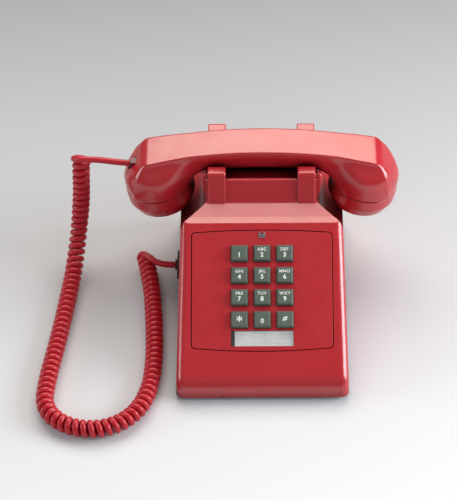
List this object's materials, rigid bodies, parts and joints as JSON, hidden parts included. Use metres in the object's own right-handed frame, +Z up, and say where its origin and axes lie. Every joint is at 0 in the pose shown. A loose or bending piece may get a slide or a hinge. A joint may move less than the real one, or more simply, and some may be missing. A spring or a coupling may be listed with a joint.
{
  "type": "push-button desk telephone",
  "caption": "Push-button desk telephone with a handset across a four-eared cradle, a coiled handset cord, a hook switch and a bell ringer.",
  "frame": {"origin": "on the table, under the middle of the telephone", "axes": "+X right as the user sees it, +Y towards the back, +Z up"},
  "size_m": [0.3077, 0.2683, 0.13],
  "materials": {
    "red_shell": "glossy moulded plastic, lightly worn",
    "red_plate": "finely pebbled",
    "red_cord": "satin vinyl jacket",
    "key_grey": "satin, white legends",
    "dark_plastic": "satin",
    "clear_plastic": "clear",
    "card_white": "matt card",
    "steel": "zinc plated",
    "painted_base": "satin",
    "foot_rubber": "matt",
    "dome_rubber": "matt silicone",
    "board": "circuit board",
    "grey_plastic": "satin",
    "gong_brass": "lacquered",
    "coil_wrap": "varnished winding",
    "unit_metal": "satin"
  },
  "bodies": {
    "base": {"housing": "red_shell", "faceplate": "red_plate", "handset_cord": "red_cord", "cord_tail_handset": "red_cord", "cord_tail_base": "red_cord", "handset_jack": "dark_plastic", "line_jack": "dark_plastic", "card_tab": "dark_plastic", "keypad_frame": "dark_plastic", "hookswitch_contacts": "dark_plastic", "card_window": "clear_plastic", "plug_base": "clear_plastic", "number_card": "card_white", "faceplate_clip": "steel", "keypad_backplate": "steel", "keypad_screws": "steel", "housing_screws": "steel", "hookswitch_bracket": "steel", "hookswitch_pin": "steel", "ringer_frame": "steel", "gong_screws": "steel", "clapper_pin": "steel", "wheel_pin": "steel", "base_plate": "painted_base", "rubber_feet": "foot_rubber", "keypad_dome_sheet": "dome_rubber", "keypad_board": "board", "network_block": "grey_plastic", "gong_left": "gong_brass", "gong_right": "gong_brass", "ringer_coil": "coil_wrap"},
    "handset": {"handset_handle": "red_shell", "transmitter_cap": "red_shell", "receiver_cap": "red_shell", "transmitter_unit": "dark_plastic", "receiver_unit": "unit_metal", "plug_handset": "clear_plastic"},
    "plunger_left": {"plunger_left": "grey_plastic"},
    "plunger_right": {"plunger_right": "grey_plastic"},
    "hookswitch_lever": {"hookswitch_lever": "grey_plastic"},
    "clapper": {"clapper": "steel"},
    "ringer_volume_wheel": {"ringer_volume_wheel": "dark_plastic"},
    "key_1": {"key_1": "key_grey"},
    "key_2": {"key_2": "key_grey"},
    "key_3": {"key_3": "key_grey"},
    "key_4": {"key_4": "key_grey"},
    "key_5": {"key_5": "key_grey"},
    "key_6": {"key_6": "key_grey"},
    "key_7": {"key_7": "key_grey"},
    "key_8": {"key_8": "key_grey"},
    "key_9": {"key_9": "key_grey"},
    "key_star": {"key_star": "key_grey"},
    "key_0": {"key_0": "key_grey"},
    "key_hash": {"key_hash": "key_grey"}
  },
  "joints": [
    {"name": "handset_lift", "type": "slide", "parent": "base", "child": "handset", "axis": [0, 0, 1], "range_m": [0, 0.07], "deforming": ["handset_cord", "cord_tail_handset", "cord_tail_base"]},
    {"name": "key_1_press", "type": "slide", "parent": "base", "child": "key_1", "axis": [0, 0.5103, -0.86], "range_m": [0, 0.003], "stiffness_N_per_m": 300, "springref_m": -0.001, "deforming": ["keypad_dome_sheet"]},
    {"name": "key_2_press", "type": "slide", "parent": "base", "child": "key_2", "axis": [0, 0.5103, -0.86], "range_m": [0, 0.003], "stiffness_N_per_m": 300, "springref_m": -0.001, "deforming": ["keypad_dome_sheet"]},
    {"name": "key_3_press", "type": "slide", "parent": "base", "child": "key_3", "axis": [0, 0.5103, -0.86], "range_m": [0, 0.003], "stiffness_N_per_m": 300, "springref_m": -0.001, "deforming": ["keypad_dome_sheet"]},
    {"name": "key_4_press", "type": "slide", "parent": "base", "child": "key_4", "axis": [0, 0.5103, -0.86], "range_m": [0, 0.003], "stiffness_N_per_m": 300, "springref_m": -0.001, "deforming": ["keypad_dome_sheet"]},
    {"name": "key_5_press", "type": "slide", "parent": "base", "child": "key_5", "axis": [0, 0.5103, -0.86], "range_m": [0, 0.003], "stiffness_N_per_m": 300, "springref_m": -0.001, "deforming": ["keypad_dome_sheet"]},
    {"name": "key_6_press", "type": "slide", "parent": "base", "child": "key_6", "axis": [0, 0.5103, -0.86], "range_m": [0, 0.003], "stiffness_N_per_m": 300, "springref_m": -0.001, "deforming": ["keypad_dome_sheet"]},
    {"name": "key_7_press", "type": "slide", "parent": "base", "child": "key_7", "axis": [0, 0.5103, -0.86], "range_m": [0, 0.003], "stiffness_N_per_m": 300, "springref_m": -0.001, "deforming": ["keypad_dome_sheet"]},
    {"name": "key_8_press", "type": "slide", "parent": "base", "child": "key_8", "axis": [0, 0.5103, -0.86], "range_m": [0, 0.003], "stiffness_N_per_m": 300, "springref_m": -0.001, "deforming": ["keypad_dome_sheet"]},
    {"name": "key_9_press", "type": "slide", "parent": "base", "child": "key_9", "axis": [0, 0.5103, -0.86], "range_m": [0, 0.003], "stiffness_N_per_m": 300, "springref_m": -0.001, "deforming": ["keypad_dome_sheet"]},
    {"name": "key_star_press", "type": "slide", "parent": "base", "child": "key_star", "axis": [0, 0.5103, -0.86], "range_m": [0, 0.003], "stiffness_N_per_m": 300, "springref_m": -0.001, "deforming": ["keypad_dome_sheet"]},
    {"name": "key_0_press", "type": "slide", "parent": "base", "child": "key_0", "axis": [0, 0.5103, -0.86], "range_m": [0, 0.003], "stiffness_N_per_m": 300, "springref_m": -0.001, "deforming": ["keypad_dome_sheet"]},
    {"name": "key_hash_press", "type": "slide", "parent": "base", "child": "key_hash", "axis": [0, 0.5103, -0.86], "range_m": [0, 0.003], "stiffness_N_per_m": 300, "springref_m": -0.001, "deforming": ["keypad_dome_sheet"]},
    {"name": "plunger_left_travel", "type": "slide", "parent": "base", "child": "plunger_left", "axis": [0, 0, 1], "range_m": [0, 0.006]},
    {"name": "plunger_right_travel", "type": "slide", "parent": "base", "child": "plunger_right", "axis": [0, 0, 1], "range_m": [0, 0.006]},
    {"name": "hookswitch_lever_hinge", "type": "hinge", "parent": "base", "child": "hookswitch_lever", "pos_m": [0, 0.048, 0.088], "axis": [1, 0, 0], "range_deg": [0, 13]},
    {"name": "clapper_hinge", "type": "hinge", "parent": "base", "child": "clapper", "pos_m": [0, -0.001, 0.017], "axis": [0, 0, 1], "range_deg": [-5, 5], "stiffness_Nm_per_rad": 0.02},
    {"name": "ringer_volume_turn", "type": "hinge", "parent": "base", "child": "ringer_volume_wheel", "pos_m": [0.05, 0.014, 0.0142], "axis": [1, 0, 0], "range_deg": [-60, 60]}
  ],
  "couplings": [
    {"joint": "plunger_left_travel", "follows": "handset_lift", "ratio": 0.0857},
    {"joint": "plunger_right_travel", "follows": "handset_lift", "ratio": 0.0857},
    {"joint": "hookswitch_lever_hinge", "follows": "handset_lift", "rad_per_m": 3.24}
  ]
}
